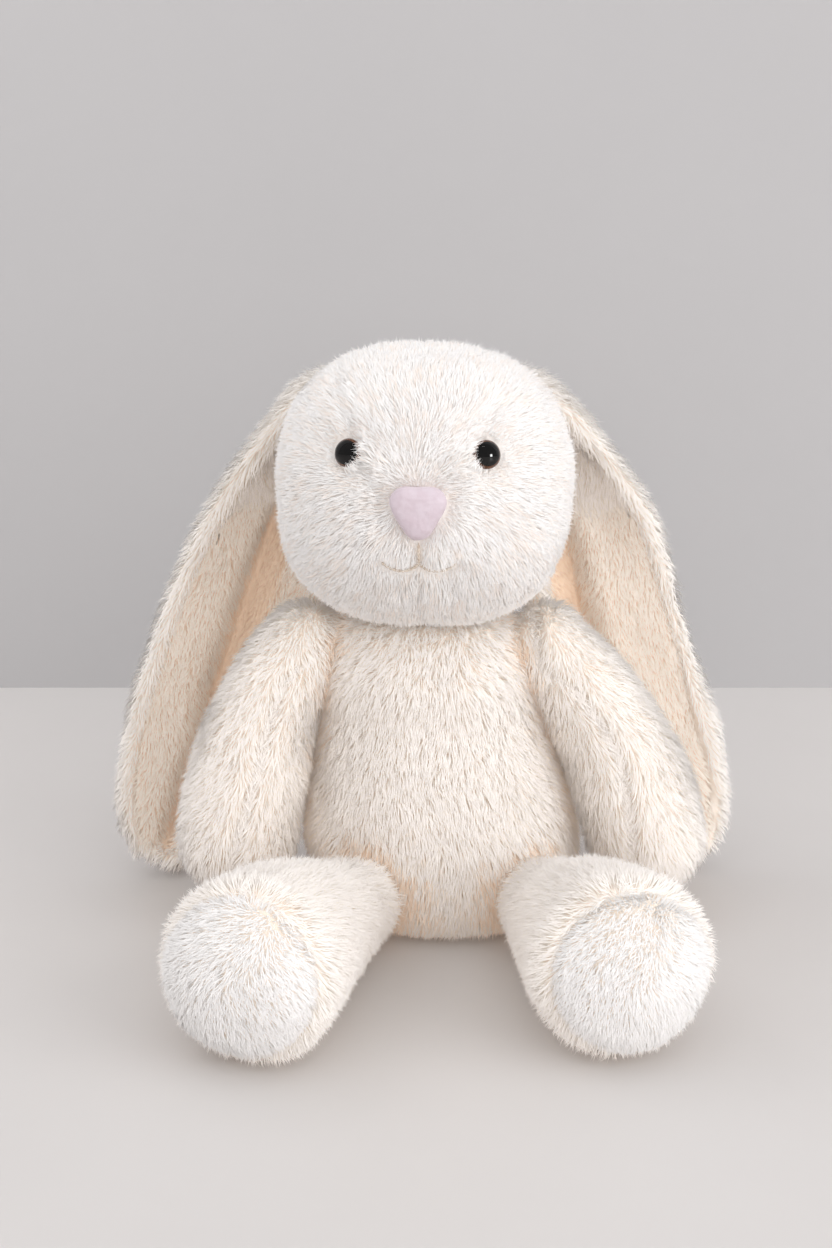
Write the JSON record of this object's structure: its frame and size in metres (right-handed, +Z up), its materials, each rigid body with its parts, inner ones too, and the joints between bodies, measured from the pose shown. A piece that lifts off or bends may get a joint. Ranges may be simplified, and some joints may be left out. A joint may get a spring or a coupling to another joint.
{
  "type": "plush rabbit",
  "caption": "Sitting stuffed rabbit of cream pile fabric with long lop ears, round feet with sole panels, set-in shiny eyes, a smooth triangular nose and a stitched mouth",
  "frame": {"origin": "On the resting plane, under the middle of the seat of the sitting rabbit", "axes": "+Z up, the rabbit faces -Y, its own left side is +X"},
  "size_m": [0.2533, 0.2241, 0.2295],
  "materials": {
    "plush_cream": "matte",
    "plush_white": "matte",
    "ear_lining": "matte",
    "sole_plush": "matte",
    "fibre_fill": "matte",
    "pellet_cloth": "matte",
    "pellets": "satin",
    "sewing_thread": "satin",
    "eye_brown": "gloss",
    "eye_black": "gloss",
    "washer_plastic": "satin",
    "nose_cloth": "satin",
    "mouth_thread": "satin"
  },
  "bodies": {
    "torso": {"body_front_panel": "plush_cream", "body_back_left_panel": "plush_cream", "body_back_right_panel": "plush_cream", "seat_panel": "plush_cream", "body_stuffing": "fibre_fill", "seat_pellet_bag": "pellet_cloth", "seat_pellets": "pellets", "back_closing_stitches": "sewing_thread", "tail_cover": "plush_cream", "tail_stuffing": "fibre_fill", "left_shoulder_seam_thread": "sewing_thread", "right_shoulder_seam_thread": "sewing_thread", "left_hip_seam_thread": "sewing_thread", "right_hip_seam_thread": "sewing_thread", "neck_seam_thread": "sewing_thread"},
    "neck": {"neck_stuffing": "fibre_fill"},
    "head": {"face_left_panel": "plush_white", "face_right_panel": "plush_white", "forehead_gusset": "plush_white", "head_back_left_panel": "plush_cream", "head_back_right_panel": "plush_cream", "head_stuffing": "fibre_fill", "nose_cover": "nose_cloth", "nose_padding": "fibre_fill", "mouth_embroidery": "mouth_thread", "left_eye_body": "eye_brown", "left_eye_pupil": "eye_black", "left_eye_washer": "washer_plastic", "left_ear_seam_thread": "sewing_thread", "right_eye_body": "eye_brown", "right_eye_pupil": "eye_black", "right_eye_washer": "washer_plastic", "right_ear_seam_thread": "sewing_thread"},
    "left_ear_root": {"left_ear_root_bundle": "plush_cream"},
    "left_ear": {"left_ear_outer_panel": "plush_cream", "left_ear_lining_panel": "ear_lining"},
    "right_ear_root": {"right_ear_root_bundle": "plush_cream"},
    "right_ear": {"right_ear_outer_panel": "plush_cream", "right_ear_lining_panel": "ear_lining"},
    "left_shoulder": {"left_shoulder_bundle": "fibre_fill"},
    "left_arm": {"left_arm_inner_panel": "plush_cream", "left_arm_outer_panel": "plush_cream", "left_arm_stuffing": "fibre_fill"},
    "left_hip": {"left_hip_bundle": "fibre_fill"},
    "left_leg": {"left_leg_inner_panel": "plush_cream", "left_leg_outer_panel": "plush_cream", "left_foot_sole_panel": "sole_plush", "left_leg_stuffing": "fibre_fill", "left_foot_pellet_pouch": "pellet_cloth"},
    "right_shoulder": {"right_shoulder_bundle": "fibre_fill"},
    "right_arm": {"right_arm_inner_panel": "plush_cream", "right_arm_outer_panel": "plush_cream", "right_arm_stuffing": "fibre_fill"},
    "right_hip": {"right_hip_bundle": "fibre_fill"},
    "right_leg": {"right_leg_inner_panel": "plush_cream", "right_leg_outer_panel": "plush_cream", "right_foot_sole_panel": "sole_plush", "right_leg_stuffing": "fibre_fill", "right_foot_pellet_pouch": "pellet_cloth"}
  },
  "joints": [
    {"name": "neck_turn", "type": "hinge", "parent": "torso", "child": "neck", "pos_m": [-0.0045, 0, 0.125], "axis": [0, 0, 1], "range_deg": [-5, 5]},
    {"name": "head_nod", "type": "hinge", "parent": "neck", "child": "head", "pos_m": [-0.0045, 0, 0.125], "axis": [1, 0, 0], "range_deg": [-1, 16]},
    {"name": "left_ear_lift", "type": "hinge", "parent": "head", "child": "left_ear_root", "pos_m": [0.02427, 0.00602, 0.2215], "axis": [0, -1, 0], "range_deg": [0, 75]},
    {"name": "left_ear_swing", "type": "hinge", "parent": "left_ear_root", "child": "left_ear", "pos_m": [0.02427, 0.00602, 0.2215], "axis": [1, 0, 0], "range_deg": [0, 18]},
    {"name": "right_ear_lift", "type": "hinge", "parent": "head", "child": "right_ear_root", "pos_m": [-0.03159, 0.00992, 0.2215], "axis": [0, 1, 0], "range_deg": [0, 75]},
    {"name": "right_ear_swing", "type": "hinge", "parent": "right_ear_root", "child": "right_ear", "pos_m": [-0.03159, 0.00992, 0.2215], "axis": [1, 0, 0], "range_deg": [0, 18]},
    {"name": "left_arm_swing", "type": "hinge", "parent": "torso", "child": "left_shoulder", "pos_m": [0.043, -0.003, 0.115], "axis": [-1, 0, 0], "range_deg": [0, 75]},
    {"name": "left_arm_raise", "type": "hinge", "parent": "left_shoulder", "child": "left_arm", "pos_m": [0.043, -0.003, 0.115], "axis": [0, -1, 0], "range_deg": [0, 60]},
    {"name": "left_leg_lift", "type": "hinge", "parent": "torso", "child": "left_hip", "pos_m": [0.041, -0.043, 0.021], "axis": [-1, 0, 0], "range_deg": [0, 30]},
    {"name": "left_leg_spread", "type": "hinge", "parent": "left_hip", "child": "left_leg", "pos_m": [0.041, -0.043, 0.021], "axis": [0, 0, 1], "range_deg": [-4, 14]},
    {"name": "right_arm_swing", "type": "hinge", "parent": "torso", "child": "right_shoulder", "pos_m": [-0.05, -0.003, 0.115], "axis": [-1, 0, 0], "range_deg": [0, 75]},
    {"name": "right_arm_raise", "type": "hinge", "parent": "right_shoulder", "child": "right_arm", "pos_m": [-0.05, -0.003, 0.115], "axis": [0, 1, 0], "range_deg": [0, 60]},
    {"name": "right_leg_lift", "type": "hinge", "parent": "torso", "child": "right_hip", "pos_m": [-0.0315, -0.043, 0.021], "axis": [-1, 0, 0], "range_deg": [0, 30]},
    {"name": "right_leg_spread", "type": "hinge", "parent": "right_hip", "child": "right_leg", "pos_m": [-0.0315, -0.043, 0.021], "axis": [0, 0, -1], "range_deg": [-4, 14]}
  ]
}
